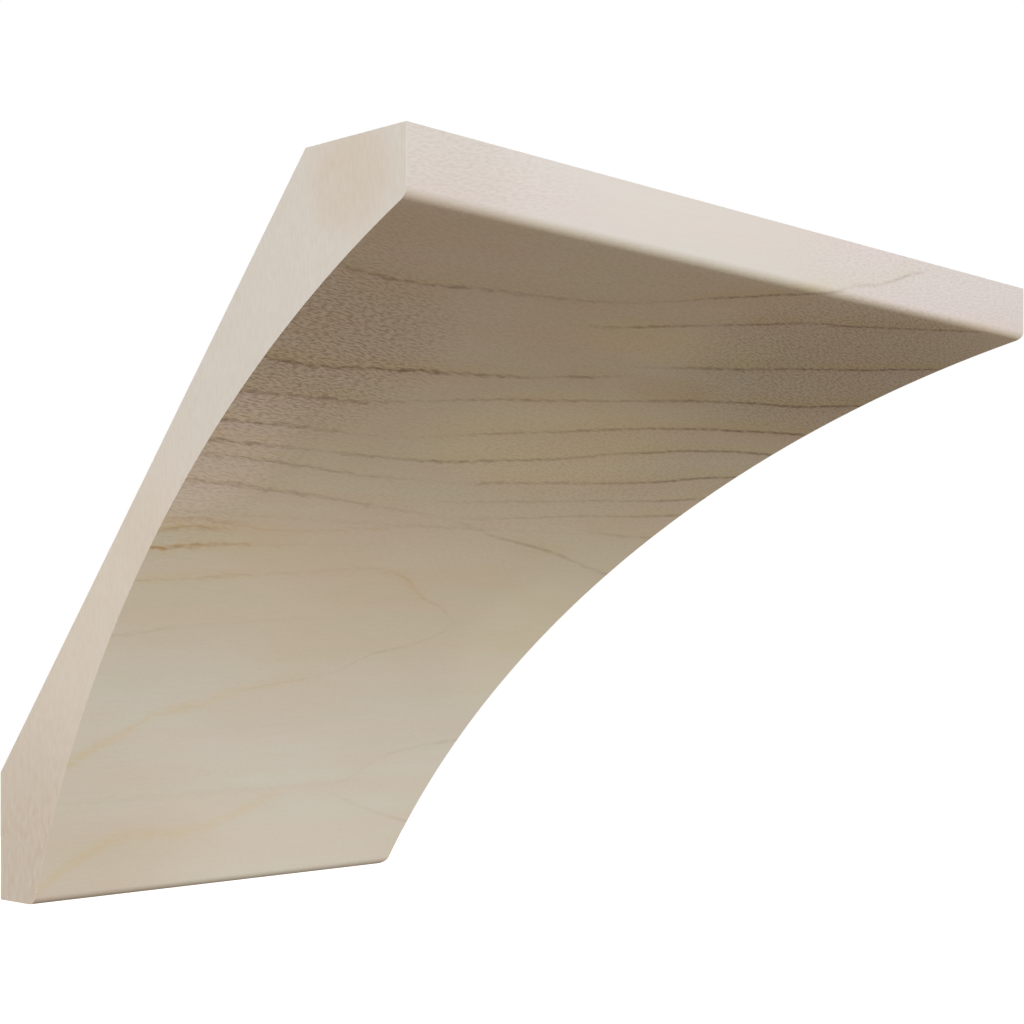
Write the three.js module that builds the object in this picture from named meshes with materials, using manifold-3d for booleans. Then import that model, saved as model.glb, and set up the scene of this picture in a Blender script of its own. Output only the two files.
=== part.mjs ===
// A short length of cove crown moulding, milled from one maple board and mitred for an outside corner.
// Millimetres, +Z up. The origin is the centre of the flat that sits against the wall: +X runs along
// the moulding towards the mitre, -Y faces the room and the ceiling flat is on top.
import * as THREE from "three";
import { mergeVertices } from "three/addons/utils/BufferGeometryUtils.js";
import Module from "manifold-3d";

// Driving dimensions
const HEIGHT = 101.6; // drop of the moulding down the wall
const PROJECTION = 88.9; // reach of the moulding out along the ceiling
const FRONT_LENGTH = 151.2; // top front edge, from the square end to the point of the mitre
const MITRE_ANGLE = Math.PI / 4; // half of the square corner that two such lengths make
const CEILING_FLAT = 18.4; // depth of the flat on top
const WALL_FLAT = 19.3; // height of the flat at the back
const FASCIA = 8.8; // height of the upright strip over the cove, to its sharp corner
const LIP = 9; // depth of the underside below the cove, to its sharp corner
const COVE_RADIUS = 158; // sweep of the hollow face
const ARRIS_RADIUS = 1.8; // rounding of the two edges that border the hollow
const COVE_STEPS = 40; // straight steps along the hollow
const ARRIS_STEPS = 8; // straight steps round each arris
const MAPLE = { color: 0xd9c9b2, roughness: 0.55, metalness: 0 };

// Worked-out sizes
const WALL_LENGTH = FRONT_LENGTH - PROJECTION * Math.tan(MITRE_ANGLE); // what the mitre leaves at the wall
const CUTTER_SIZE = 2 * FRONT_LENGTH; // a block that outreaches the mitre on every side

const wasm = await Module();
wasm.setup();

// Points along a round stretch of the section, with both ends.
function arc(centre, radius, startAngle, endAngle, clockwise, steps) {
  const curve = new THREE.EllipseCurve(
    centre.x,
    centre.y,
    radius,
    radius,
    startAngle,
    endAngle,
    clockwise,
  );
  return curve.getPoints(steps);
}

// Centre of the cove's sweep: it lies out in the room, below the moulding, and its circle passes
// through the sharp corners of the fascia and the lip.
function coveCentre() {
  const fasciaCorner = new THREE.Vector2(-PROJECTION, HEIGHT - FASCIA);
  const lipCorner = new THREE.Vector2(-LIP, 0);
  const chord = lipCorner.clone().sub(fasciaCorner);
  const middle = fasciaCorner.clone().add(lipCorner).multiplyScalar(0.5);
  const intoRoom = new THREE.Vector2(chord.y, -chord.x).normalize();
  const distance = Math.sqrt(COVE_RADIUS ** 2 - chord.lengthSq() / 4);
  return middle.addScaledVector(intoRoom, distance);
}

// Section of the moulding, seen from the mitre: wall flat, slanted back, ceiling flat, fascia,
// rounded arris, cove, rounded arris and underside. The wall is at x = 0 and the underside at y = 0.
function mouldingSection() {
  const cove = coveCentre();
  const reach = COVE_RADIUS + ARRIS_RADIUS;
  const fasciaArris = new THREE.Vector2(ARRIS_RADIUS - PROJECTION, 0);
  fasciaArris.y = cove.y + Math.sqrt(reach ** 2 - (fasciaArris.x - cove.x) ** 2);
  const lipArris = new THREE.Vector2(0, ARRIS_RADIUS);
  lipArris.x = cove.x + Math.sqrt(reach ** 2 - (lipArris.y - cove.y) ** 2);
  const upperAngle = fasciaArris.clone().sub(cove).angle();
  const lowerAngle = lipArris.clone().sub(cove).angle();
  const halfTurn = Math.PI;
  const fasciaRound = arc(
    fasciaArris,
    ARRIS_RADIUS,
    halfTurn,
    upperAngle + halfTurn,
    false,
    ARRIS_STEPS,
  );
  const hollow = arc(cove, COVE_RADIUS, upperAngle, lowerAngle, true, COVE_STEPS);
  const lipRound = arc(
    lipArris,
    ARRIS_RADIUS,
    lowerAngle + halfTurn,
    1.5 * halfTurn,
    false,
    ARRIS_STEPS,
  );
  const outline = [
    new THREE.Vector2(0, 0),
    new THREE.Vector2(0, WALL_FLAT),
    new THREE.Vector2(CEILING_FLAT - PROJECTION, HEIGHT),
    new THREE.Vector2(-PROJECTION, HEIGHT),
  ];
  // The hollow's end points are those of the two arrises.
  outline.push(...fasciaRound, ...hollow.slice(1, -1), ...lipRound);
  return new THREE.Shape(outline);
}

// A closed three.js geometry as a solid that can be cut.
function solidOf(geometry) {
  const bare = geometry.clone();
  bare.deleteAttribute("normal");
  bare.deleteAttribute("uv");
  const merged = mergeVertices(bare);
  const mesh = new wasm.Mesh({
    numProp: 3,
    vertProperties: merged.getAttribute("position").array,
    triVerts: new Uint32Array(merged.index.array),
  });
  return new wasm.Manifold(mesh);
}

// A cut solid as a three.js geometry with flat-shaded faces.
function geometryOf(solid) {
  const mesh = solid.getMesh();
  const geometry = new THREE.BufferGeometry();
  geometry.setAttribute("position", new THREE.BufferAttribute(mesh.vertProperties, mesh.numProp));
  geometry.setIndex(new THREE.BufferAttribute(mesh.triVerts, 1));
  const faceted = geometry.toNonIndexed();
  faceted.computeVertexNormals();
  return faceted;
}

// The whole run of the section along +X, from the square end to the point of the mitre.
function squareLength() {
  const run = new THREE.ExtrudeGeometry(mouldingSection(), {
    depth: FRONT_LENGTH,
    bevelEnabled: false,
  });
  // Section x becomes depth (+Y), section y becomes height (+Z) and the run goes along +X.
  return run.rotateX(Math.PI / 2).rotateZ(Math.PI / 2);
}

// The waste beyond the mitre, which leans back from the front edge to the wall.
function mitreWaste() {
  const block = new THREE.BoxGeometry(CUTTER_SIZE, CUTTER_SIZE, CUTTER_SIZE);
  block.translate(CUTTER_SIZE / 2, 0, 0);
  return block.rotateZ(MITRE_ANGLE).translate(WALL_LENGTH, 0, HEIGHT / 2);
}

const moulding = new THREE.Mesh(
  geometryOf(solidOf(squareLength()).subtract(solidOf(mitreWaste()))),
  new THREE.MeshStandardMaterial(MAPLE),
);
moulding.name = "cove_moulding";
moulding.position.set(-WALL_LENGTH / 2, 0, -WALL_FLAT / 2);

const cornerPiece = new THREE.Group();
cornerPiece.add(moulding);
export default cornerPiece;
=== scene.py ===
"""A mitred length of maple cove crown moulding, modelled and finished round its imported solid."""

import math

import bpy
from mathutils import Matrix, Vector


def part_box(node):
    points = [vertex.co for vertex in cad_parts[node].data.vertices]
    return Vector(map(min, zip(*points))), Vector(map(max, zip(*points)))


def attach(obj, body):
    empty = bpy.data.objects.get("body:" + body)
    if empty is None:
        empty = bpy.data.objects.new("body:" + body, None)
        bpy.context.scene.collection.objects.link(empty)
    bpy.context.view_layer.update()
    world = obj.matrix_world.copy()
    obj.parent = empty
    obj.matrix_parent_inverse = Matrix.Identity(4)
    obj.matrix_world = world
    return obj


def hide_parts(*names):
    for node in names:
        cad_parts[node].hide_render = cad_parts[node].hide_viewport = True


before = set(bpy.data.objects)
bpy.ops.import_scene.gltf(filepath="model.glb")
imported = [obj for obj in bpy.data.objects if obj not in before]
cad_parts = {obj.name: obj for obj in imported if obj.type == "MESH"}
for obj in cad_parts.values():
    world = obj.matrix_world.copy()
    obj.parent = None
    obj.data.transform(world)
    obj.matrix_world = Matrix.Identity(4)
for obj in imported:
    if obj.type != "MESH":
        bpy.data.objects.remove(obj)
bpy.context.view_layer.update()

# Sizes of the section, in metres. The box of the solid gives the rest.
MILLIMETRE = 0.001
NODE = "cove_moulding"
LOW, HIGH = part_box(NODE)
CEILING_FLAT = 18.4 * MILLIMETRE
FASCIA = 8.8 * MILLIMETRE
LIP = 9.0 * MILLIMETRE
COVE_RADIUS = 158.0 * MILLIMETRE
ARRIS_RADIUS = 1.8 * MILLIMETRE
EASED_EDGE = 0.02 * MILLIMETRE
EASED_STEPS = 2
CUT_SNAP = 0.0001 * MILLIMETRE
COVE_STEPS = 96
ARRIS_STEPS = 12
SQUARE_END, MITRE_POINT = LOW.x, HIGH.x
FRONT, WALL = LOW.y, HIGH.y
UNDERSIDE, CEILING = LOW.z, HIGH.z
WALL_FLAT_TOP = -UNDERSIDE
FRONT_LENGTH = MITRE_POINT - SQUARE_END
SHARP, SMOOTH = math.radians(30), math.radians(15)


def cove_centre():
    """The axis that the hollow sweeps round. Its circle passes through both sharp corners."""
    fascia_corner = Vector((0, FRONT, CEILING - FASCIA))
    lip_corner = Vector((0, WALL - LIP, UNDERSIDE))
    chord = lip_corner - fascia_corner
    into_room = Vector((0, chord.z, -chord.y)).normalized()
    distance = math.sqrt(COVE_RADIUS**2 - chord.length_squared / 4)
    return (fascia_corner + lip_corner) / 2 + into_room * distance


# Each arris is a small circle that touches the cove's circle and one flat.
COVE = cove_centre()
REACH = COVE_RADIUS + ARRIS_RADIUS
FASCIA_ARRIS = Vector((0, FRONT + ARRIS_RADIUS, 0))
FASCIA_ARRIS.z = COVE.z + math.sqrt(REACH**2 - (FASCIA_ARRIS.y - COVE.y) ** 2)
LIP_ARRIS = Vector((0, 0, UNDERSIDE + ARRIS_RADIUS))
LIP_ARRIS.y = COVE.y + math.sqrt(REACH**2 - (LIP_ARRIS.z - COVE.z) ** 2)
UPPER_ANGLE = math.atan2(FASCIA_ARRIS.z - COVE.z, FASCIA_ARRIS.y - COVE.y)
LOWER_ANGLE = math.atan2(LIP_ARRIS.z - COVE.z, LIP_ARRIS.y - COVE.y)
CORNER_ANGLE = math.atan2(CEILING - FASCIA - COVE.z, FRONT - COVE.y)

# Growth lines on the milled faces: distance from the square end and girth down from the top of the
# fascia, in millimetres, and how strong the line is there.
RUN_MM, GIRTH_MM = 160.0, 140.0
CORNER_GIRTH_MM = 8.5
FASCIA_END_MM, COVE_START_MM = 7.5, 9.5
DARK_LINE_MM, TAN_LINE_MM, HONEY_LINE_MM = 0.5, 0.55, 1.9
WAVER_SWING_MM, RAGGED_SWING_MM = 0.5, 0.9
RAGGED_RUN_MM = (20, 80)
LATE_WOOD_MM, EARLY_WOOD_MM = 4.0, 3.0
DARK_LINES = {
    "under the fascia": (
        (0, 22.4, 0.4), (9, 23.2, 0.6), (21, 22.4, 0.65), (28, 21.9, 0.4), (45, 20.4, 0.3),
        (57, 18.3, 0.2), (66, 15.5, 0.45), (75, 13.0, 0.8), (82, 10.8, 0.8), (88, 9.2, 0.6),
        (92, 8.5, 0.4), (95, 7.4, 0.2), (98, 6.6, 0.2), (104, 5.8, 0.2), (107, 4.9, 0.3),
        (110, 4.0, 0.35), (113, 2.9, 0.35), (116, 2.2, 0.2), (118, 1.6, 0.1), (120, 1.2, 0.0),
    ),
    "below the arris": (
        (44, 26.0, 0.0), (53, 24.8, 0.3), (59, 23.8, 0.6), (66, 22.2, 0.65), (72, 21.0, 0.45),
        (80, 19.2, 0.6), (89, 17.1, 0.85), (95, 15.8, 0.45), (102, 14.9, 0.8), (120, 12.3, 0.6),
        (131, 10.4, 0.6), (138, 9.3, 0.3),
    ),
    "strong line": (
        (0, 40.0, 1.0), (9, 40.3, 0.9), (15, 39.9, 0.8), (26, 38.9, 0.95), (34, 38.3, 0.7),
        (45, 37.3, 0.6), (51, 36.6, 0.25), (55, 35.6, 0.5), (59, 35.2, 0.6), (63, 34.5, 0.4),
        (68, 33.7, 0.15), (72, 33.2, 0.0),
    ),
    "strong line, right": (
        (62, 32.6, 0.0), (68, 31.6, 0.1), (77, 30.5, 0.35), (80, 30.1, 0.6), (90, 28.7, 0.8),
        (104, 26.4, 0.8), (117, 24.4, 0.95), (130, 22.2, 1.0), (140, 20.4, 0.95),
    ),
    "second line": (
        (0, 46.3, 0.9), (9, 46.0, 0.5), (15, 46.0, 0.75), (22, 45.8, 0.5), (30, 44.4, 0.3),
        (45, 42.2, 0.4), (57, 40.9, 0.55), (64, 40.1, 0.4), (80, 38.0, 0.5), (87, 37.0, 0.75),
        (94, 36.2, 0.6), (101, 35.6, 1.0), (111, 35.0, 1.0), (118, 34.1, 1.0), (131, 32.1, 1.0),
    ),
    "third line": (
        (0, 51.5, 0.9), (9, 51.5, 0.65), (21, 51.6, 0.3), (34, 51.4, 0.1), (45, 49.7, 0.25),
        (51, 48.8, 0.5), (60, 47.4, 0.35), (70, 45.9, 0.55), (81, 44.3, 0.55), (93, 42.9, 0.85),
        (105, 41.9, 1.0), (124, 41.1, 0.9),
    ),
    "fourth line": (
        (0, 55.1, 0.75), (9, 55.2, 0.55), (21, 55.4, 0.3), (27, 55.4, 0.45), (36, 55.3, 0.3),
        (45, 55.2, 0.7), (53, 54.3, 0.55), (69, 52.2, 0.5), (81, 50.1, 0.4), (88, 49.3, 0.8),
        (98, 47.7, 0.75), (118, 46.7, 0.8),
    ),
    "fifth line": (
        (0, 57.8, 0.3), (9, 58.0, 0.4), (20, 58.4, 0.4), (34, 59.1, 0.25), (46, 59.2, 0.05),
        (52, 59.1, 0.1), (57, 58.6, 0.45), (70, 57.6, 0.4), (82, 56.7, 0.5), (94, 55.4, 0.6),
        (105, 53.7, 0.75), (114, 52.6, 0.6),
    ),
    "sixth line": (
        (0, 62.3, 0.4), (16, 63.1, 0.45), (27, 63.9, 0.35), (36, 64.6, 0.2), (46, 65.6, 0.15),
        (52, 66.2, 0.05), (58, 66.1, 0.15), (75, 64.6, 0.25), (93, 63.3, 0.3), (100, 62.8, 0.5),
        (108, 62.1, 0.5),
    ),
    "between the lines": (
        (46, 63.2, 0.0), (58, 62.6, 0.2), (70, 61.5, 0.25), (76, 61.1, 0.15), (84, 60.4, 0.3),
        (93, 59.7, 0.3), (100, 59.2, 0.5), (111, 58.1, 0.45),
    ),
    "last level line": (
        (46, 67.9, 0.1), (60, 68.0, 0.15), (68, 67.6, 0.0), (84, 67.3, 0.0), (92, 67.5, 0.2),
        (104, 67.7, 0.25),
    ),
    "slanting line": (
        (55, 66.8, 0.0), (59, 67.6, 0.2), (66, 69.4, 0.25), (77, 71.2, 0.4), (84, 72.6, 0.35),
        (89, 73.7, 0.2), (99, 76.2, 0.4),
    ),
}
TAN_LINES = {
    "broken streak, upper": (
        (0, 69.4, 0.4), (6, 69.1, 0.45), (12, 69.6, 0.3), (20, 70.3, 0.2), (28, 69.9, 0.2),
        (40, 68.7, 0.2), (52, 67.9, 0.1),
    ),
    "broken streak, lower": (
        (0, 71.5, 0.5), (5, 70.7, 0.5), (10, 70.9, 0.3), (14, 71.3, 0.0),
    ),
    "orange streak": (
        (0, 74.3, 1.0), (6, 73.9, 0.95), (10, 73.5, 0.75), (16, 73.2, 0.5), (22, 73.0, 0.15),
        (40, 72.0, 0.1), (52, 71.5, 0.0),
    ),
    "top of the flame": (
        (0, 80.1, 0.3), (9, 79.5, 0.25), (16, 78.6, 0.35), (22, 78.5, 0.25), (33, 77.6, 0.15),
        (45, 76.9, 0.2), (51, 78.3, 0.3), (57, 82.0, 0.2), (63, 84.4, 0.2), (67.5, 87.0, 0.1),
        (68.5, 87.4, 0.0),
    ),
    "foot of the flame": (
        (28, 99.5, 0.0), (36, 98.1, 0.15), (45, 96.6, 0.1), (51, 93.5, 0.3), (57, 92.0, 0.3),
        (63, 90.3, 0.2), (67.5, 87.6, 0.1), (68.5, 87.4, 0.0),
    ),
    "inside the flame": (
        (0, 89.6, 0.25), (6, 88.9, 0.25), (12, 88.0, 0.1), (30, 86.6, 0.1), (42, 85.8, 0.0),
    ),
    "far flame, upper": (
        (50, 117.6, 0.1), (57, 117.0, 0.15), (61, 114.2, 0.15), (68, 112.2, 0.2), (80, 110.8, 0.3),
    ),
    "far flame, lower": (
        (50, 118.0, 0.1), (59, 121.6, 0.15), (65, 123.9, 0.15), (71, 125.6, 0.3), (76, 126.6, 0.3),
    ),
}
HONEY_LINES = {
    "broken streak": (
        (0, 70.4, 0.9), (8, 70.4, 0.7), (18, 70.3, 0.4), (30, 69.8, 0.3), (44, 68.4, 0.2),
        (52, 67.8, 0.0),
    ),
    "orange streak": (
        (0, 74.2, 0.8), (8, 73.6, 0.7), (16, 73.1, 0.5), (26, 72.6, 0.3), (40, 72.0, 0.0),
    ),
    "top of the flame": (
        (0, 80.1, 0.5), (12, 79.0, 0.6), (18, 78.5, 0.5), (26, 78.2, 0.2), (48, 77.4, 0.3),
        (54, 80.2, 0.5), (58, 82.4, 0.3), (62, 84.0, 0.0),
    ),
    "foot of the flame": (
        (0, 111.5, 0.8), (4, 108.8, 0.9), (9, 106.0, 0.8), (13, 103.4, 0.6), (17, 102.6, 0.8),
        (22, 101.4, 0.6), (28, 99.6, 0.5), (36, 98.1, 0.3), (44, 96.8, 0.0),
    ),
    "beside the foot": (
        (0, 103.5, 0.4), (5, 103.4, 0.3), (8, 103.6, 0.0),
    ),
    "lower streak": (
        (0, 132.2, 0.7), (3, 129.4, 0.6), (9, 126.2, 0.9), (13, 124.6, 0.6), (22, 124.5, 0.6),
        (30, 123.4, 0.6), (36, 121.2, 0.6), (42, 118.9, 0.3), (46, 118.0, 0.0),
    ),
}

# Soft ovals on the milled faces: middle and half size along the run and the girth, in millimetres,
# and how strongly flecks show there.
FLECK_PATCHES = {
    "left of the cove": (0.0, 38.0, 40.0, 23.0, 1.0),
    "left end": (0.0, 42.0, 28.0, 42.0, 0.55),
    "far end of the cove": (114.0, 22.0, 52.0, 28.0, 0.9),
    "middle lines": (85.0, 52.0, 60.0, 16.0, 0.4),
    "whole upper cove": (75.0, 30.0, 140.0, 60.0, 0.28),
    "lower cove": (20.0, 100.0, 110.0, 70.0, 0.08),
    "left of the fascia": (0.0, 4.0, 44.0, 9.0, 0.25),
    "right of the fascia": (125.0, 4.0, 60.0, 9.0, 0.3),
}
FLECK_SLANT, FIBRE_SLANT = math.radians(8), math.radians(4)

# The same ovals for darker, lighter and warmer stretches, each with the tint of its middle; one lighter
# oval is painted light
SHADED_PATCHES = {
    "far end of the cove": (122.0, 27.0, 56.0, 20.0, (0.92, 0.91, 0.915)),
    "left of the upper cove": (0.0, 26.0, 38.0, 30.0, (0.985, 0.96, 0.965)),
    "olive above the strong line": (66.0, 26.0, 24.0, 5.5, (1.05, 1.05, 0.96)),
    "olive at the strong line": (80.0, 35.5, 15.0, 4.0, (0.96, 0.92, 0.84)),
    "olive right of the strong line": (89.0, 25.0, 7.0, 4.0, (1.02, 1.05, 0.95)),
    "middle of the hollow": (64.0, 49.0, 36.0, 13.0, (1.08, 1.08, 1.0)),
    # Painted light: a brighter, cooler patch at the square end, where the light turns over the hollow.
    "painted light, left where the hollow turns": (0.0, 57.0, 17.0, 16.0, (1.13, 1.115, 1.2)),
    "left of the lower cove": (2.0, 90.0, 34.0, 18.0, (1.0, 1.03, 1.07)),
    "right of the lower cove": (86.0, 92.0, 20.0, 18.0, (1.045, 1.065, 1.055)),
    "left of the fascia": (0.0, 4.0, 24.0, 12.0, (0.95, 0.94, 0.925)),
    "middle of the fascia": (72.0, 4.0, 45.0, 12.0, (1.0, 1.004, 0.985)),
    "right of the fascia": (130.0, 4.0, 60.0, 12.0, (1.035, 1.03, 1.055)),
}

# Browner ovals on the sawn end: middle and half size across and up, in millimetres, and the tint
END_PATCHES = {
    "upper front": (-79.0, 87.0, 10.0, 9.0, (0.955, 0.92, 0.875)),
    "narrow middle": (-36.0, 44.0, 7.0, 10.0, (0.985, 0.975, 0.96)),
    "lower half": (-24.0, 22.0, 48.0, 50.0, (1.02, 0.985, 0.935)),
}
# The foot: the lower front corner of the square end. Painted shade darkens the end and the cove towards
# it.
FOOT = Vector((SQUARE_END, -8 * MILLIMETRE, UNDERSIDE)) / MILLIMETRE
FOOT_REACH_MM, FOOT_CORE_MM = 38.0, 6.0

# Sizes of the patches of noise, in millimetres: along the run, down the girth and into the wood
WAVER_MM = (22, 9, 9)
RAGGED_MM = (2.4, 0.8, 1.5)
FLECK_MM = (1.1, 0.28, 1.0)
BREAK_MM = (2.8, 0.6, 1.5)
FIBRE_MM = (6.0, 0.5, 1.0)
BAND_MM = (60, 5, 5)
CLOUD_MM = (35, 9, 9)

# The same on the sawn ends: across, up and into the wood
PORE_MM = (0.4, 1.8, 5.0)
MOTTLE_MM = (2.5, 4.0, 5.0)
FOOT_STREAK_MM = (0.9, 2.6, 5.0)

# How deep in the wood, how far behind the front and how far turned along the run each face is
FACE_DEPTH_MM, HIDDEN_DEPTH_MM = 1.5, 4.0
ON_FRONT_MM, BEHIND_FRONT_MM = 0.2, 1.0
MILLED_FACING, SAWN_FACING = 0.25, 0.55

# Bands down the girth, in millimetres: the middle, the reach that is full and the reach where it ends
WARM_BAND = (50.0, 35.0, 58.0)
SHADED_BAND = (40.0, 4.0, 40.0)

# Where the girth turns in to the lip, in millimetres
LIP_TURN_MM = (116, 130)

# Colours of the wood and of its tints, in linear light
MAPLE_WOOD = (0.638, 0.567, 0.463)
END_WOOD = (0.645, 0.564, 0.492)
DARK_WOOD = (0.200, 0.130, 0.090)
LINE_SHARE = 0.85
FLECK_TINT = (0.69, 0.64, 0.6)
ZONE_TINT = (0.88, 0.87, 0.86)
WARM_TINT = (0.995, 0.94, 0.85)
LIP_TINT = (0.985, 0.965, 0.955)
FASCIA_TINT = (0.98, 0.968, 1.068)
# Painted shade towards the foot, on the sawn end and on the cove
FOOT_PAINTED_SHADE = (0.915, 0.88, 0.845)
PINK_TINT = (1.02, 0.98, 0.99)
CREAM_TINT = (0.99, 0.97, 0.94)
LATE_TINT = (0.97, 0.955, 0.82)
EARLY_TINT = (0.99, 0.96, 0.97)
TAN_TINT = (0.75, 0.6, 0.46)
HONEY_TINT = (1.0, 0.93, 0.77)
FIBRE_TINT = (0.985, 0.983, 0.978)
PORE_TINT = (0.955, 0.945, 0.935)
PEACH_TINT = (0.995, 0.98, 0.97)
FOOT_STREAK_TINT = (0.95, 0.92, 0.9)

# Shine of the wood, and the relief of its fibres and flecks
SHINE = 0.3
RELIEF, RELIEF_STRENGTH, FIBRE_RELIEF = 0.08 * MILLIMETRE, 0.3, 0.2

# The photograph's viewpoint, the lights and the floor, in metres and watts
CAMERA_PLACE = Vector((-0.18905, -0.25431, 0.03026))
CAMERA_AIM = Vector((0.72946, 0.68403, 0))
LENS_MM, LENS_RISE = 67.07, 0.1213
LIGHT_DISTANCE, LIGHT_SIZE = 2.5, 1.6
KEY_ENERGY, KEY_COLOUR = 98.0, (0.83, 0.935, 1.0)
BACK_ENERGY, BACK_COLOUR = 60.0, (0.9, 0.95, 1.0)
SURROUND_COLOUR, SURROUND_STRENGTH = (1.0, 0.856, 0.73, 1.0), 0.298
FLOOR_DROP, FLOOR_RADIUS, FLOOR_SIDES = 0.6, 6.0, 96
WHITE, PALE = (1.0, 1.0, 1.0, 1.0), (0.9, 0.9, 0.9, 1.0)


def deselect_all():
    """Leaves nothing selected, so that an operator touches only the piece being made."""
    bpy.ops.object.select_all(action="DESELECT")


def draw_line(y, z):
    """Carries the section's last point on in a straight line by this much."""
    bpy.ops.mesh.extrude_region_move(TRANSFORM_OT_translate={"value": (0, y, z)})


def draw_arc(centre, angle, steps):
    """Carries the section's last point round a centre. A positive angle turns from +Y towards +Z."""
    place = (SQUARE_END, centre.y, centre.z)
    bpy.ops.mesh.spin(steps=steps, angle=-angle, center=place, axis=(1, 0, 0))


def draw_section():
    """The outline of the square end, from the top of the fascia down the cove and round the back."""
    draw_line(0, FASCIA_ARRIS.z - CEILING)
    draw_arc(FASCIA_ARRIS, UPPER_ANGLE, ARRIS_STEPS)
    draw_arc(COVE, LOWER_ANGLE - UPPER_ANGLE, COVE_STEPS)
    draw_arc(LIP_ARRIS, math.pi / 2 - LOWER_ANGLE, ARRIS_STEPS)
    draw_line(WALL - LIP_ARRIS.y, 0)
    draw_line(0, WALL_FLAT_TOP - UNDERSIDE)
    draw_line(FRONT + CEILING_FLAT - WALL, CEILING - WALL_FLAT_TOP)
    bpy.ops.mesh.select_all(action="SELECT")
    bpy.ops.mesh.edge_face_add()


def cut_mitre():
    """Saws the far end off at the angle that leaves the wall flat centred on the origin."""
    bpy.ops.mesh.select_all(action="SELECT")
    wall_end = (-SQUARE_END, WALL, 0)
    across = Vector((WALL - FRONT, MITRE_POINT + SQUARE_END, 0)).normalized()
    bpy.ops.mesh.bisect(
        plane_co=wall_end,
        plane_no=across,
        clear_outer=True,
        use_fill=True,
        threshold=CUT_SNAP,
    )


def ease_edges():
    """Takes the sharpness off every cut edge, and leaves the two rounded arrises alone."""
    bpy.ops.mesh.select_mode(type="EDGE")
    bpy.ops.mesh.select_all(action="DESELECT")
    bpy.ops.mesh.edges_select_sharp(sharpness=SHARP)
    bpy.ops.mesh.bevel(offset=EASED_EDGE, segments=EASED_STEPS, profile=0.5, clamp_overlap=True)


def model_moulding():
    """Draws the section at the square end, runs it along, cuts the mitre and eases the edges."""
    deselect_all()
    # A tiny plane, merged to one point, starts the outline.
    bpy.ops.mesh.primitive_plane_add(size=EASED_EDGE, location=(SQUARE_END, FRONT, CEILING))
    moulding = bpy.context.object
    moulding.name = "maple_moulding"
    bpy.ops.object.transform_apply(location=True, rotation=True, scale=True)
    bpy.ops.object.mode_set(mode="EDIT")
    bpy.ops.mesh.select_mode(type="VERT")
    bpy.ops.mesh.select_all(action="SELECT")
    bpy.ops.mesh.merge(type="CENTER")
    draw_section()
    bpy.ops.mesh.extrude_region_move(TRANSFORM_OT_translate={"value": (FRONT_LENGTH, 0, 0)})
    bpy.ops.mesh.select_all(action="SELECT")
    bpy.ops.mesh.normals_make_consistent(inside=False)
    cut_mitre()
    ease_edges()
    bpy.ops.object.mode_set(mode="OBJECT")
    bpy.ops.object.shade_smooth_by_angle(angle=SMOOTH)
    return moulding


def put(tree, socket, value):
    """Feeds a socket from another node, or sets it to a plain value."""
    if isinstance(value, bpy.types.NodeSocket):
        tree.links.new(value, socket)
    else:
        socket.default_value = value


def maths(tree, operation, *values):
    """One arithmetic step."""
    node = tree.nodes.new("ShaderNodeMath")
    node.operation = operation
    for socket, value in zip(node.inputs, values):
        put(tree, socket, value)
    return node.outputs[0]


def ramp(tree, value, start, end, low=0.0, high=1.0):
    """Eases from low to high as a value goes from start to end."""
    node = tree.nodes.new("ShaderNodeMapRange")
    node.interpolation_type = "SMOOTHSTEP"
    put(tree, node.inputs["Value"], value)
    put(tree, node.inputs["From Min"], start)
    put(tree, node.inputs["From Max"], end)
    put(tree, node.inputs["To Min"], low)
    put(tree, node.inputs["To Max"], high)
    return node.outputs["Result"]


def place(tree, x, y, z):
    """A point for a texture, from three numbers."""
    node = tree.nodes.new("ShaderNodeCombineXYZ")
    for socket, value in zip(node.inputs, (x, y, z)):
        put(tree, socket, value)
    return node.outputs[0]


def stretched(tree, point, size, slant=0.0):
    """A point for noise whose patches have this size, leaning over by a slant about the third axis."""
    node = tree.nodes.new("ShaderNodeMapping")
    node.vector_type = "TEXTURE"
    put(tree, node.inputs["Vector"], point)
    put(tree, node.inputs["Rotation"], (0.0, 0.0, slant))
    put(tree, node.inputs["Scale"], size)
    return node.outputs[0]


def noise(tree, point, detail=2.0, roughness=0.5):
    """Cloudy noise about one unit across, from 0 to 1."""
    node = tree.nodes.new("ShaderNodeTexNoise")
    put(tree, node.inputs["Vector"], point)
    put(tree, node.inputs["Scale"], 1.0)
    put(tree, node.inputs["Detail"], detail)
    put(tree, node.inputs["Roughness"], roughness)
    return node.outputs["Fac"]


def swing(tree, value, size):
    """Noise turned into a swing of this size either way."""
    return maths(tree, "MULTIPLY", maths(tree, "SUBTRACT", value, 0.5), 2 * size)


def strongest(tree, values):
    """The largest of several numbers."""
    total, *rest = values
    for value in rest:
        total = maths(tree, "MAXIMUM", total, value)
    return total


def blend_colours(tree, share, first, second, kind="MIX"):
    """Mixes or multiplies two colours by a share."""
    node = tree.nodes.new("ShaderNodeMix")
    node.data_type = "RGBA"
    node.blend_type = kind
    put(tree, node.inputs["Factor"], share)
    for name, value in (("A", first), ("B", second)):
        socket = next(s for s in node.inputs if s.name == name and s.type == "RGBA")
        put(tree, socket, value if isinstance(value, bpy.types.NodeSocket) else (*value, 1.0))
    return next(s for s in node.outputs if s.type == "RGBA")


def tinted(tree, colour, share, tint):
    """A colour multiplied by a share of a tint."""
    return blend_colours(tree, share, colour, tint, "MULTIPLY")


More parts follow.
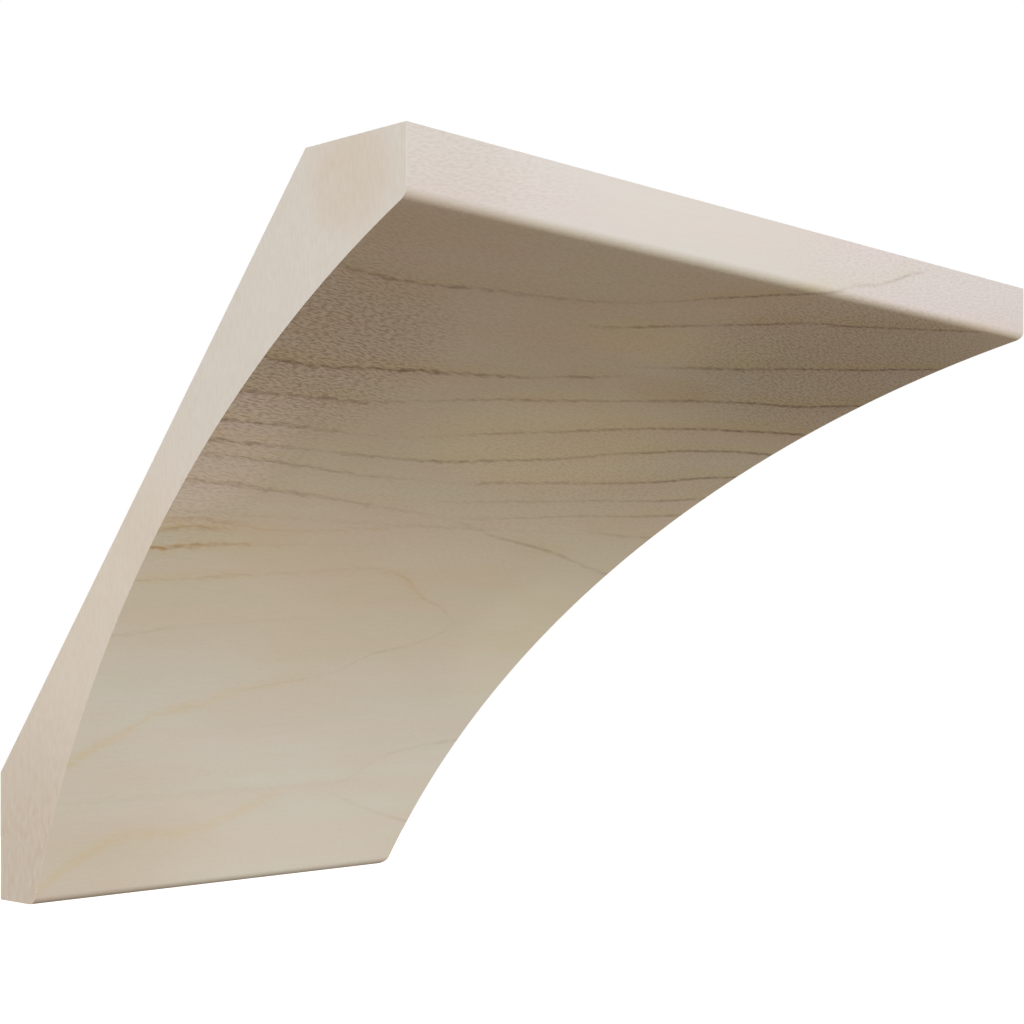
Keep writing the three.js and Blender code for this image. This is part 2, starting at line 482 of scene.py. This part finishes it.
def drawn_curve(tree, along, points):
    """A number that follows listed points along the run."""
    node = tree.nodes.new("ShaderNodeFloatCurve")
    node.mapping.use_clip = False
    node.mapping.extend = "HORIZONTAL"
    curve = node.mapping.curves[0]
    (first, start), *middle, (last, end) = points
    curve.points[0].location = (first / RUN_MM, start)
    curve.points[1].location = (last / RUN_MM, end)
    for distance, value in middle:
        curve.points.new(distance / RUN_MM, value)
    node.mapping.update()
    put(tree, node.inputs["Value"], along)
    return node.outputs["Value"]


def wood_grain(tree):
    """Where a place is in the wood, in millimetres, and how far it is on each kind of face."""
    where = tree.nodes.new("ShaderNodeTexCoord")
    spot = tree.nodes.new("ShaderNodeSeparateXYZ")
    put(tree, spot.inputs[0], where.outputs["Object"])
    facing = tree.nodes.new("ShaderNodeSeparateXYZ")
    put(tree, facing.inputs[0], where.outputs["Normal"])
    x, y, z = [maths(tree, "DIVIDE", spot.outputs[axis], MILLIMETRE) for axis in "XYZ"]
    along = maths(tree, "SUBTRACT", x, SQUARE_END / MILLIMETRE)
    front = ramp(tree, maths(tree, "SUBTRACT", y, FRONT / MILLIMETRE), BEHIND_FRONT_MM, ON_FRONT_MM)
    behind = maths(tree, "SUBTRACT", 1.0, front)
    out = maths(tree, "SUBTRACT", y, COVE.y / MILLIMETRE)
    up = maths(tree, "SUBTRACT", z, COVE.z / MILLIMETRE)
    turn = maths(tree, "SUBTRACT", CORNER_ANGLE, maths(tree, "ARCTAN2", up, out))
    sweep = maths(tree, "ADD", maths(tree, "MULTIPLY", turn, COVE_RADIUS / MILLIMETRE), CORNER_GIRTH_MM)
    drop = maths(tree, "SUBTRACT", CEILING / MILLIMETRE, z)
    on_cove = maths(tree, "MULTIPLY", sweep, behind)
    on_fascia = maths(tree, "MULTIPLY", drop, front)
    girth = maths(tree, "ADD", on_cove, on_fascia)
    square = maths(tree, "ADD", maths(tree, "MULTIPLY", out, out), maths(tree, "MULTIPLY", up, up))
    depth = maths(tree, "SUBTRACT", maths(tree, "SQRT", square), COVE_RADIUS / MILLIMETRE)
    depth = maths(tree, "MULTIPLY", depth, behind)
    # The top, the back and the underside lie deeper in the wood than the milled faces.
    hidden = ramp(tree, depth, FACE_DEPTH_MM, HIDDEN_DEPTH_MM)
    shown = maths(tree, "SUBTRACT", 1.0, hidden)
    strip = ramp(tree, girth, COVE_START_MM, FASCIA_END_MM)
    below_strip = ramp(tree, girth, FASCIA_END_MM, COVE_START_MM)
    # Fibres lean down along the run on the cove, and up on the fascia.
    lean = maths(tree, "MULTIPLY", girth, maths(tree, "SUBTRACT", behind, front))
    # Nearness to the foot masks the painted shade there, and the end's darker streaks.
    from_foot = tree.nodes.new("ShaderNodeVectorMath")
    from_foot.operation = "DISTANCE"
    put(tree, from_foot.inputs[0], place(tree, x, y, z))
    put(tree, from_foot.inputs[1], FOOT)
    return {
        "along": along,
        "run": maths(tree, "DIVIDE", along, RUN_MM),
        "girth": girth,
        "spot": place(tree, along, girth, depth),
        "leaning": place(tree, along, lean, depth),
        "y": y,
        "z": z,
        "section": place(tree, y, z, along),
        "shown": shown,
        "plain": strongest(tree, [strip, hidden]),
        "fascia": maths(tree, "MULTIPLY", strip, shown),
        "hollow": maths(tree, "MULTIPLY", below_strip, shown),
        "end": ramp(tree, maths(tree, "ABSOLUTE", facing.outputs["X"]), MILLED_FACING, SAWN_FACING),
        "foot": ramp(tree, from_foot.outputs["Value"], FOOT_REACH_MM, FOOT_CORE_MM),
    }


def wavering_girth(tree, grain):
    """The girth that growth lines follow: it wanders, and is ragged towards the square end."""
    waver = swing(tree, noise(tree, stretched(tree, grain["spot"], WAVER_MM)), WAVER_SWING_MM)
    rough = noise(tree, stretched(tree, grain["leaning"], RAGGED_MM, FLECK_SLANT), 3.0, 0.6)
    smoother = ramp(tree, grain["along"], *RAGGED_RUN_MM, 1.0, 0.4)
    ragged = maths(tree, "MULTIPLY", swing(tree, rough, RAGGED_SWING_MM), smoother)
    return maths(tree, "ADD", grain["girth"], maths(tree, "ADD", waver, ragged))


def line_distances(tree, grain, wavy, lines):
    """How far each growth line of a list is from a place, and how strong it is there."""
    found = []
    for points in lines.values():
        middle = drawn_curve(tree, grain["run"], [(x, g / GIRTH_MM) for x, g, _ in points])
        strength = drawn_curve(tree, grain["run"], [(x, s) for x, _, s in points])
        off = maths(tree, "SUBTRACT", wavy, maths(tree, "MULTIPLY", middle, GIRTH_MM))
        found.append((off, strength))
    return found


def drawn_lines(tree, distances, above, below):
    """How strongly lines show that fade out over this much above them and this much below."""
    shares = []
    for off, strength in distances:
        rising = ramp(tree, off, -above, 0.0)
        falling = ramp(tree, off, 0.0, below, 1.0, 0.0)
        share = maths(tree, "MULTIPLY", rising, falling)
        shares.append(maths(tree, "MULTIPLY", share, strength))
    return strongest(tree, shares)


def soft_patch(tree, across, down, middle_x, middle_g, half_x, half_g):
    """A soft oval on a face, from two of a place's distances."""
    x = maths(tree, "DIVIDE", maths(tree, "SUBTRACT", across, middle_x), half_x)
    g = maths(tree, "DIVIDE", maths(tree, "SUBTRACT", down, middle_g), half_g)
    squared = maths(tree, "ADD", maths(tree, "MULTIPLY", x, x), maths(tree, "MULTIPLY", g, g))
    return ramp(tree, squared, 0.05, 1.0, 1.0, 0.0)


def milled_patch(tree, grain, name, oval):
    """A soft oval that stays on the fascia if its name says so, and otherwise on the cove."""
    patch = soft_patch(tree, grain["along"], grain["girth"], *oval)
    return maths(tree, "MULTIPLY", patch, grain["fascia" if "fascia" in name else "hollow"])


def fleck_pattern(tree, grain):
    """Short leaning dashes, gathered in patches on the milled faces."""
    shares = []
    for name, (*oval, strength) in FLECK_PATCHES.items():
        patch = milled_patch(tree, grain, name, oval)
        shares.append(maths(tree, "MULTIPLY", patch, strength))
    dashes = noise(tree, stretched(tree, grain["leaning"], FLECK_MM, FLECK_SLANT), 3.0)
    milled = maths(tree, "SUBTRACT", 1.0, grain["end"])
    share = maths(tree, "MULTIPLY", strongest(tree, shares), milled)
    return maths(tree, "MULTIPLY", ramp(tree, dashes, 0.4, 0.66), share)


def band(tree, value, middle, inner, outer):
    """A soft band round the middle of a value: full within the inner reach, gone past the outer."""
    away = maths(tree, "ABSOLUTE", maths(tree, "SUBTRACT", value, middle))
    return ramp(tree, away, inner, outer, 1.0, 0.0)


def toned_wood(tree, grain, wavy):
    """The ground colour of the milled faces, with its broad bands and patches, one of them painted
    light.
    """
    warm = maths(tree, "MULTIPLY", band(tree, wavy, *WARM_BAND), grain["hollow"])
    bands = ramp(tree, noise(tree, stretched(tree, grain["spot"], BAND_MM), 3.0), 0.35, 0.65)
    clouds = ramp(tree, noise(tree, stretched(tree, grain["spot"], CLOUD_MM), 3.0), 0.4, 0.65)
    zone = maths(tree, "MULTIPLY", band(tree, wavy, *SHADED_BAND), grain["shown"])
    colour = tinted(tree, MAPLE_WOOD, zone, ZONE_TINT)
    colour = tinted(tree, colour, warm, WARM_TINT)
    colour = tinted(tree, colour, ramp(tree, grain["girth"], *LIP_TURN_MM), LIP_TINT)
    colour = tinted(tree, colour, grain["plain"], FASCIA_TINT)
    # One of these patches is painted light, at the square end where the hollow turns.
    for name, (*oval, tint) in SHADED_PATCHES.items():
        colour = tinted(tree, colour, milled_patch(tree, grain, name, oval), tint)
    colour = tinted(tree, colour, bands, PINK_TINT)
    return tinted(tree, colour, maths(tree, "MULTIPLY", clouds, grain["hollow"]), CREAM_TINT)


def milled_colour(tree, grain, flecks, fibres):
    """The milled faces: growth lines between olive and pink bands, honey streaks, fibres and flecks."""
    wavy = wavering_girth(tree, grain)
    dark = line_distances(tree, grain, wavy, DARK_LINES)
    tan = line_distances(tree, grain, wavy, TAN_LINES)
    honey = line_distances(tree, grain, wavy, HONEY_LINES)
    dashes = noise(tree, stretched(tree, grain["leaning"], BREAK_MM, FLECK_SLANT), 2.0)
    broken = ramp(tree, dashes, 0.3, 0.62, 0.25, 1.0)
    colour = toned_wood(tree, grain, wavy)
    # Painted shade on the cove, deepest towards the foot of the square end.
    colour = tinted(tree, colour, grain["foot"], FOOT_PAINTED_SHADE)
    colour = tinted(tree, colour, drawn_lines(tree, dark, LATE_WOOD_MM, DARK_LINE_MM), LATE_TINT)
    colour = tinted(tree, colour, drawn_lines(tree, dark, DARK_LINE_MM, EARLY_WOOD_MM), EARLY_TINT)
    colour = tinted(tree, colour, ramp(tree, fibres, 0.3, 0.7), FIBRE_TINT)
    streaks = drawn_lines(tree, honey, HONEY_LINE_MM, HONEY_LINE_MM)
    colour = tinted(tree, colour, maths(tree, "MULTIPLY", streaks, broken), HONEY_TINT)
    streaks = drawn_lines(tree, tan, TAN_LINE_MM, TAN_LINE_MM)
    colour = tinted(tree, colour, maths(tree, "MULTIPLY", streaks, broken), TAN_TINT)
    lines = maths(tree, "MULTIPLY", drawn_lines(tree, dark, DARK_LINE_MM, DARK_LINE_MM), broken)
    colour = tinted(tree, colour, flecks, FLECK_TINT)
    return blend_colours(tree, maths(tree, "MULTIPLY", lines, LINE_SHARE), colour, DARK_WOOD)


def end_grain_colour(tree, grain):
    """The sawn ends: fine upright streaks, faint mottles and browner patches; darker streaks and
    painted shade, darkest at the foot.
    """
    streaks = noise(tree, stretched(tree, grain["section"], PORE_MM), 3.0)
    mottles = noise(tree, stretched(tree, grain["section"], MOTTLE_MM), 3.0)
    dark_streaks = noise(tree, stretched(tree, grain["section"], FOOT_STREAK_MM), 2.0)
    colour = tinted(tree, END_WOOD, ramp(tree, streaks, 0.35, 0.7), PORE_TINT)
    colour = tinted(tree, colour, ramp(tree, mottles, 0.35, 0.65), PEACH_TINT)
    for *oval, tint in END_PATCHES.values():
        colour = tinted(tree, colour, soft_patch(tree, grain["y"], grain["z"], *oval), tint)
    foot_streaks = maths(tree, "MULTIPLY", ramp(tree, dark_streaks, 0.4, 0.65), grain["foot"])
    colour = tinted(tree, colour, foot_streaks, FOOT_STREAK_TINT)
    # Painted shade, deepest at the foot.
    return tinted(tree, colour, grain["foot"], FOOT_PAINTED_SHADE)


def maple():
    """Bare sanded maple."""
    material = bpy.data.materials.new("maple")
    material.use_nodes = True
    tree = material.node_tree
    shader = tree.nodes["Principled BSDF"]
    grain = wood_grain(tree)
    flecks = fleck_pattern(tree, grain)
    fibres = noise(tree, stretched(tree, grain["leaning"], FIBRE_MM, FIBRE_SLANT), 3.0)
    milled = milled_colour(tree, grain, flecks, fibres)
    colour = blend_colours(tree, grain["end"], milled, end_grain_colour(tree, grain))
    put(tree, shader.inputs["Base Color"], colour)
    put(tree, shader.inputs["Roughness"], ramp(tree, fibres, 0.2, 0.8, 0.5, 0.62))
    put(tree, shader.inputs["Specular IOR Level"], SHINE)
    bump = tree.nodes.new("ShaderNodeBump")
    put(tree, bump.inputs["Strength"], RELIEF_STRENGTH)
    put(tree, bump.inputs["Distance"], RELIEF)
    height = maths(tree, "SUBTRACT", maths(tree, "MULTIPLY", fibres, FIBRE_RELIEF), flecks)
    put(tree, bump.inputs["Height"], height)
    put(tree, shader.inputs["Normal"], bump.outputs["Normal"])
    return material


def set_camera():
    """A level camera with a rise of the lens, at the photograph's viewpoint."""
    lens = bpy.data.cameras.new("camera")
    lens.lens = LENS_MM
    lens.shift_y = LENS_RISE
    camera = bpy.data.objects.new("camera", lens)
    bpy.context.scene.collection.objects.link(camera)
    camera.location = CAMERA_PLACE
    camera.rotation_mode = "QUATERNION"
    camera.rotation_quaternion = CAMERA_AIM.to_track_quat("-Z", "Y")
    bpy.context.scene.camera = camera


def add_soft_light(name, degrees_left, degrees_up, distance, size, energy, colour):
    """A round soft light that faces the moulding, from a bearing round to the left of its front."""
    lamp = bpy.data.lights.new(name, "AREA")
    lamp.shape = "DISK"
    lamp.size = size
    lamp.energy = energy
    lamp.color = colour
    light = bpy.data.objects.new(name, lamp)
    bpy.context.scene.collection.objects.link(light)
    bearing, rise = math.radians(degrees_left), math.radians(degrees_up)
    level = Vector((-math.sin(bearing), -math.cos(bearing), 0)) * math.cos(rise)
    towards = level + Vector((0, 0, math.sin(rise)))
    light.location = (LOW + HIGH) / 2 + towards * distance
    light.rotation_mode = "QUATERNION"
    light.rotation_quaternion = (-towards).to_track_quat("-Z", "Y")


def set_light():
    """A large cool light beside the camera, one behind, and a dim warm surround that looks white."""
    add_soft_light("key light", 40, 20, LIGHT_DISTANCE, LIGHT_SIZE, KEY_ENERGY, KEY_COLOUR)
    add_soft_light("back light", 200, 40, LIGHT_DISTANCE, LIGHT_SIZE, BACK_ENERGY, BACK_COLOUR)
    world = bpy.data.worlds.new("studio")
    bpy.context.scene.world = world
    world.use_nodes = True
    tree = world.node_tree
    surround = tree.nodes["Background"]
    surround.inputs["Color"].default_value = SURROUND_COLOUR
    surround.inputs["Strength"].default_value = SURROUND_STRENGTH
    white = tree.nodes.new("ShaderNodeBackground")
    white.inputs["Color"].default_value = WHITE
    white.inputs["Strength"].default_value = 1.0
    path = tree.nodes.new("ShaderNodeLightPath")
    mix = tree.nodes.new("ShaderNodeMixShader")
    put(tree, mix.inputs["Fac"], path.outputs["Is Camera Ray"])
    put(tree, mix.inputs[1], surround.outputs["Background"])
    put(tree, mix.inputs[2], white.outputs["Background"])
    put(tree, tree.nodes["World Output"].inputs["Surface"], mix.outputs["Shader"])
    bpy.context.scene.view_settings.view_transform = "Standard"


def lay_floor():
    """A plain pale floor well below the moulding, which throws no light back into the cove."""
    deselect_all()
    below = (0, 0, UNDERSIDE - FLOOR_DROP)
    bpy.ops.mesh.primitive_circle_add(
        vertices=FLOOR_SIDES,
        radius=FLOOR_RADIUS,
        fill_type="NGON",
        location=below,
    )
    floor = bpy.context.object
    floor.name = "floor"
    material = bpy.data.materials.new("pale floor")
    material.use_nodes = True
    shader = material.node_tree.nodes["Principled BSDF"]
    shader.inputs["Base Color"].default_value = PALE
    shader.inputs["Roughness"].default_value = 0.9
    shader.inputs["Emission Color"].default_value = WHITE
    shader.inputs["Emission Strength"].default_value = 1.0
    floor.data.materials.append(material)
    floor.visible_diffuse = False
    floor.visible_glossy = False


moulding = model_moulding()
moulding.data.materials.append(maple())
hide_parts(NODE)
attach(moulding, "root")
set_camera()
set_light()
lay_floor()
